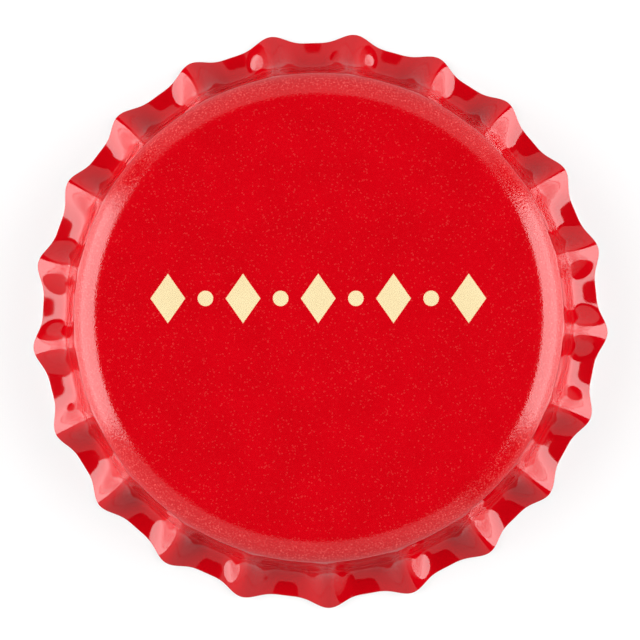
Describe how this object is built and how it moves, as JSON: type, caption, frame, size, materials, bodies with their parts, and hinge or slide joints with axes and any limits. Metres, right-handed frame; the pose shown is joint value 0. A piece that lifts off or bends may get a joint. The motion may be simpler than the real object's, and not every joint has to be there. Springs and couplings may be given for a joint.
{
  "type": "bottle cap",
  "caption": "Round pressed metal bottle cap with a flat top, a rounded corner, a flared fluted skirt and a soft sealing liner inside.",
  "frame": {"origin": "centre of the rim plane, the plane that the roots of the flutes stand on", "axes": "+Z along the cap's axis towards its closed top; +X to the picture's right and +Y to the picture's top"},
  "size_m": [0.032, 0.0319, 0.006],
  "materials": {
    "crown_shell": "gloss",
    "sealing_liner": "satin"
  },
  "bodies": {
    "root": {"crown_shell": "crown_shell", "sealing_liner": "sealing_liner"}
  },
  "joints": []
}
